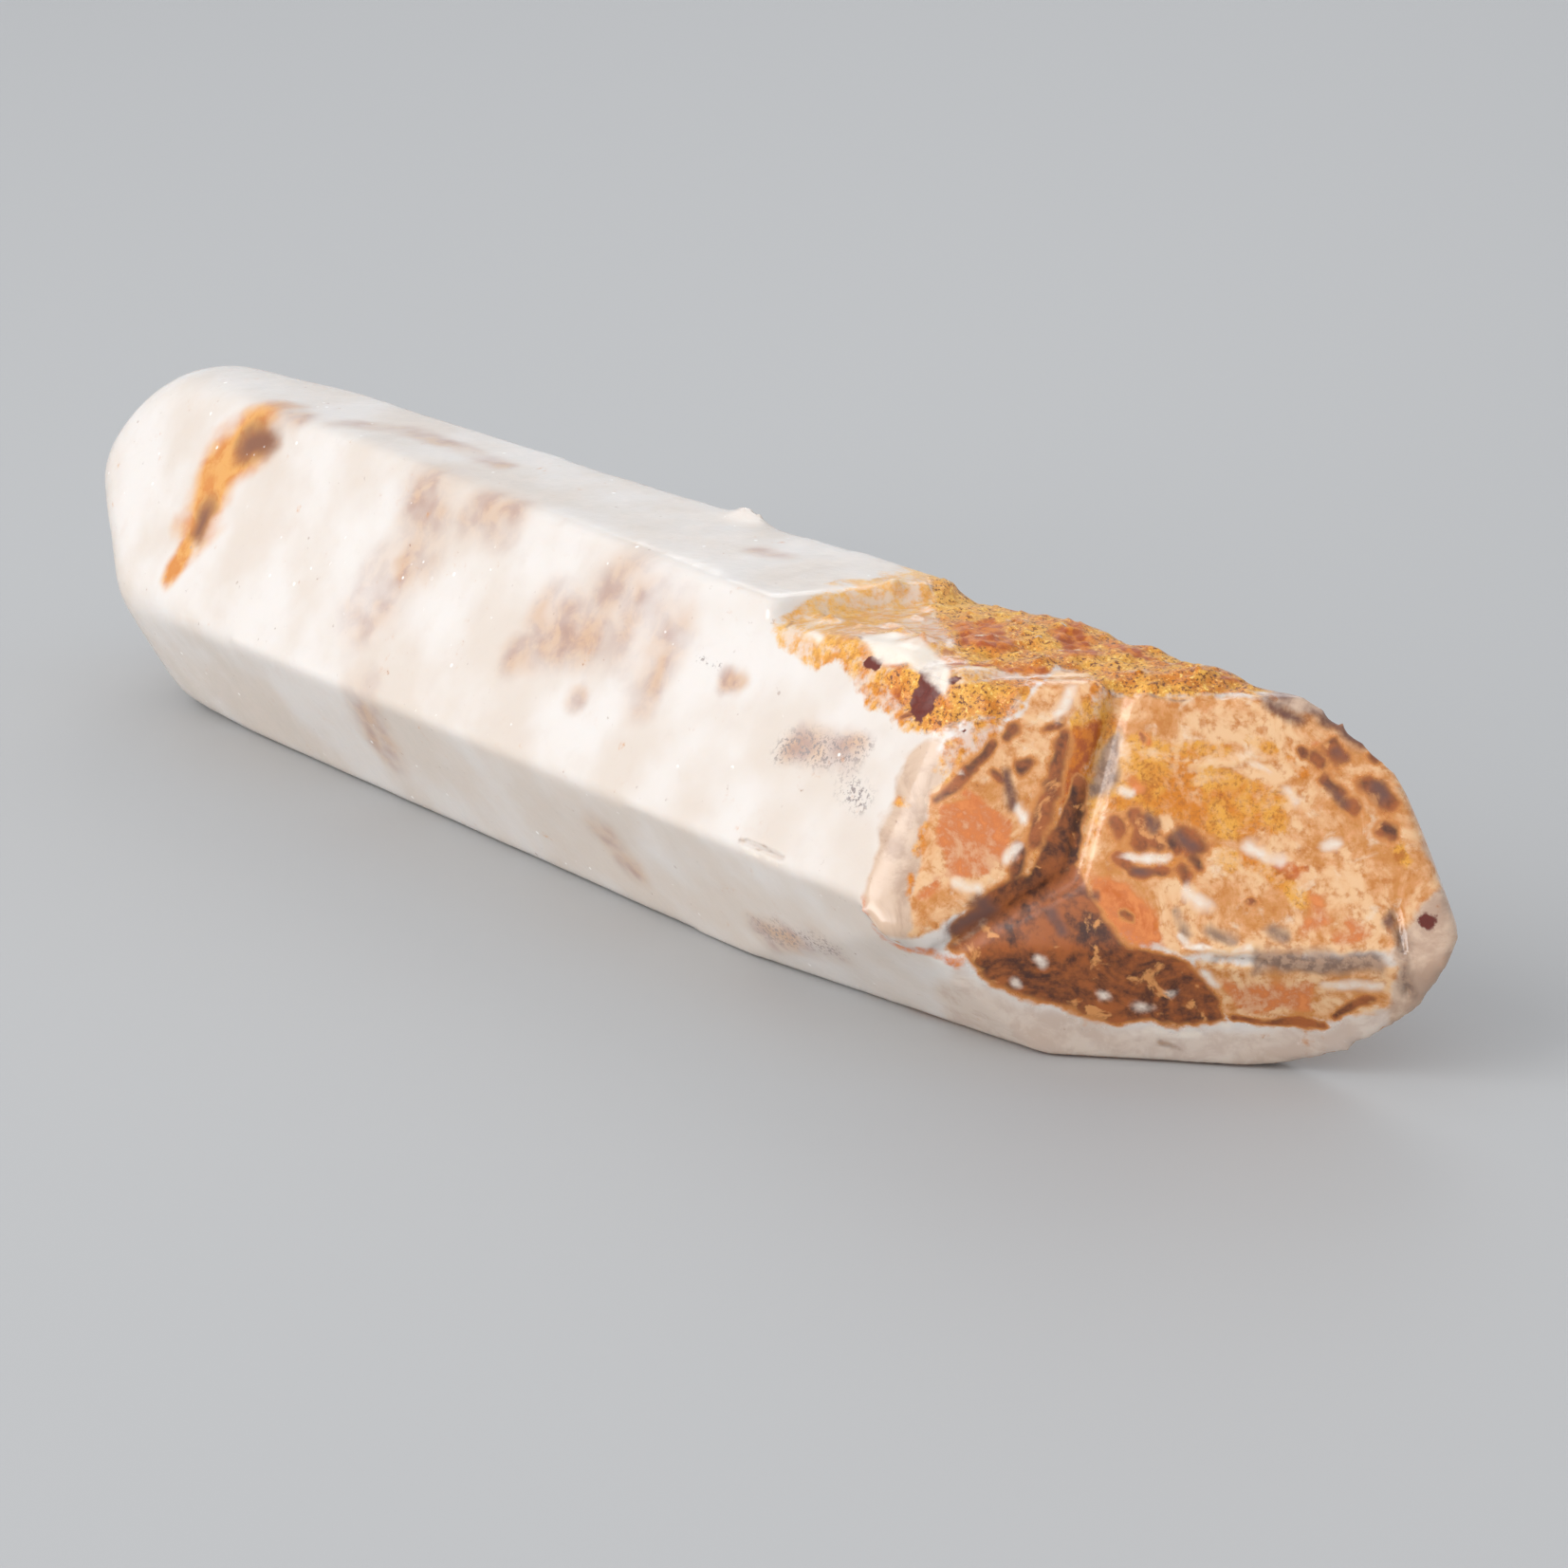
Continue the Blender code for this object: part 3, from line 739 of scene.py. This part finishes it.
dark = ragged("brown", 0.36, 0.78, mottle, 1.5)
colour = blend(dark, colour, two_tone(mottle, 0.38, 0.60, "dark_brown", "brown"))
colour = blend(sums("MULTIPLY", dark, step(medium, 0.59, 0.67)), colour, tint("brown_vein"))
colour = blend(ragged("mauve", 0.20, 1.05, mottle, 1.2), colour, tint("mauve"))
# Painted shade in the slots, the crack, the step and the groove's far wall, with grey-brown marks
# elsewhere.
colour = blend(ragged("shade_and_slate", 0.15, 1.05, mottle, 1.4), colour,
               two_tone(fine, 0.4, 0.6, "shade_and_slate", "pale_shade_and_slate"))
colour = blend(ragged("maroon", 0.22, 0.48, fine, 1.3), colour, tint("maroon"))
# White quartz, and painted highlights where some white strokes stand for glints of light.
colour = blend(ragged("white_and_glint", 0.20, 1.10, mottle, 1.6), colour, tint("white_and_glint"))

feed(shader.inputs["Base Color"], colour)
for socket, value in (
    ("IOR", 1.544),
    ("Transmission Weight", 0.15),
    ("Subsurface Weight", 0.5),
    ("Subsurface Radius", (1.0, 0.8, 0.65)),
    ("Subsurface Scale", 0.5 * MM),
):
    shader.inputs[socket].default_value = value
gloss = step(medium, 0.40, 0.62, 0.10, 0.26)
matt = sums("ADD", painted("crust"), painted("brown"))
feed(shader.inputs["Roughness"], sums("MULTIPLY_ADD", matt, 0.3, gloss))

BUMP_HEIGHT = 0.15 * MM
bump = nodes.new("ShaderNodeBump")
bump.inputs["Distance"].default_value = BUMP_HEIGHT
bump.inputs["Strength"].default_value = 0.6
feed(bump.inputs["Height"], sums("MULTIPLY", fine, step(painted("crust"), 0.0, 1.0, 0.10, 1.0)))
links.new(bump.outputs["Normal"], shader.inputs["Normal"])

crystal.data.materials.clear()
crystal.data.materials.append(milk)
only(crystal)
bpy.ops.object.shade_smooth()


# The floor: a plain pale sheet that the crystal lies on, a hair below it.
FLOOR_SIZE, FLOOR_GAP, FLOOR_GREY = 3000.0 * MM, 0.02 * MM, 0.44

bpy.ops.object.select_all(action="DESELECT")
bpy.ops.mesh.primitive_plane_add(size=FLOOR_SIZE, location=(0.0, 0.0, -FLOOR_GAP))
floor = bpy.context.active_object
floor.name = "floor"
paper = bpy.data.materials.new("floor_paper")
paper.use_nodes = True
paper_look = paper.node_tree.nodes["Principled BSDF"].inputs
paper_look["Base Color"].default_value = (FLOOR_GREY, FLOOR_GREY, FLOOR_GREY, 1.0)
paper_look["Roughness"].default_value = 0.6
floor.data.materials.append(paper)


# Soft studio light: a wide window from the front and above, a faint rim from behind, a low fill
# from the front and an even grey room. Each lamp has its place, its width and its power.
LAMPS = {
    "window": ((-0.05, -0.38, 0.32), 0.30, 1.0),
    "rim": ((-0.30, 0.30, 0.30), 0.25, 0.2),
    "low_fill": ((0.02, -0.50, 0.07), 0.30, 1.25),
}
ROOM_TINT, ROOM_STRENGTH = (0.93, 0.96, 1.0, 1.0), 0.85

for name, (place, width, watts) in LAMPS.items():
    light = bpy.data.lights.new(name, "AREA")
    light.shape = "DISK"
    light.size = width
    light.energy = watts
    lamp = bpy.data.objects.new(name, light)
    bpy.context.scene.collection.objects.link(lamp)
    lamp.location = place
    lamp.rotation_euler = (-Vector(place)).to_track_quat("-Z", "Y").to_euler()

room = bpy.data.worlds.new("room")
room.use_nodes = True
room_look = room.node_tree.nodes["Background"].inputs
room_look["Color"].default_value = ROOM_TINT
room_look["Strength"].default_value = ROOM_STRENGTH
bpy.context.scene.world = room
